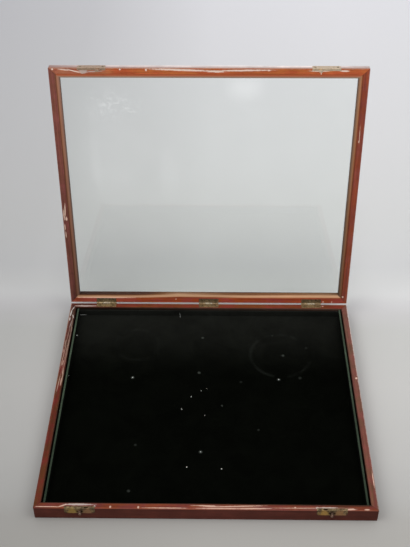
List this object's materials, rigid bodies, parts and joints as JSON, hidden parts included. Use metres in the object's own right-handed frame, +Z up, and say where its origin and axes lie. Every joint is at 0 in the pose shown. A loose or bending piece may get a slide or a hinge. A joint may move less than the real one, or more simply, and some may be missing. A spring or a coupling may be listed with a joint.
{
  "type": "countertop display case",
  "caption": "Shallow wooden table-top display case: a velvet-lined tray, a glazed lid hinged at the back that stands open on its hinge stops, and sliding catches on the front.",
  "frame": {"origin": "middle of the case's flat underside", "axes": "+X to the case's right seen from the front, +Y to the hinged back, +Z up out of the tray"},
  "size_m": [0.45, 0.4607, 0.4197],
  "materials": {
    "tray_mahogany": "old french polish over red mahogany stain, worn and chipped along the joint",
    "lid_mahogany": "old french polish over red mahogany stain, brighter on the rails",
    "bead_wood": "stained glazing bead rubbed back to pale wood",
    "panel_wood": "unpolished pine panel, darkened with age",
    "lining_board": "pressed board",
    "black_velvet": "black cotton velvet, dusty",
    "green_velvet": "very dark green velvet over strips",
    "glass": "clear picture glass with faint smudges",
    "brass": "aged brass, dull with traces of lacquer",
    "screw_brass": "darkened brass screws",
    "pin_steel": "dull steel panel pins"
  },
  "bodies": {
    "base": {"front_wall": "tray_mahogany", "back_wall": "tray_mahogany", "left_wall": "tray_mahogany", "right_wall": "tray_mahogany", "bottom_panel": "panel_wood", "floor_board": "lining_board", "floor_velvet": "black_velvet", "front_liner": "green_velvet", "back_liner": "green_velvet", "left_liner": "green_velvet", "right_liner": "green_velvet", "left_catch_plate": "brass", "right_catch_plate": "brass", "catch_screws": "screw_brass", "left_base_leaf": "brass", "middle_base_leaf": "brass", "right_base_leaf": "brass", "base_leaf_screws": "screw_brass", "left_hinge_pin": "screw_brass", "middle_hinge_pin": "screw_brass", "right_hinge_pin": "screw_brass"},
    "lid": {"lid_front_rail": "lid_mahogany", "lid_back_rail": "lid_mahogany", "lid_left_stile": "lid_mahogany", "lid_right_stile": "lid_mahogany", "glass_pane": "glass", "front_bead": "bead_wood", "back_bead": "bead_wood", "left_bead": "bead_wood", "right_bead": "bead_wood", "bead_pins": "pin_steel", "left_lid_leaf": "brass", "middle_lid_leaf": "brass", "right_lid_leaf": "brass", "lid_leaf_screws": "screw_brass", "left_hook_plate": "brass", "right_hook_plate": "brass", "hook_plate_screws": "screw_brass"},
    "left_catch": {"left_catch_slide": "brass"},
    "right_catch": {"right_catch_slide": "brass"}
  },
  "joints": [
    {"name": "lid_hinge", "type": "hinge", "parent": "base", "child": "lid", "pos_m": [0, 0.2012, 0.0212], "axis": [1, 0, 0], "range_deg": [0, 96.5]},
    {"name": "left_catch_slide_x", "type": "slide", "parent": "base", "child": "left_catch", "axis": [1, 0, 0], "range_m": [-0.0025, 0.0025]},
    {"name": "right_catch_slide_x", "type": "slide", "parent": "base", "child": "right_catch", "axis": [-1, 0, 0], "range_m": [-0.0025, 0.0025]}
  ]
}
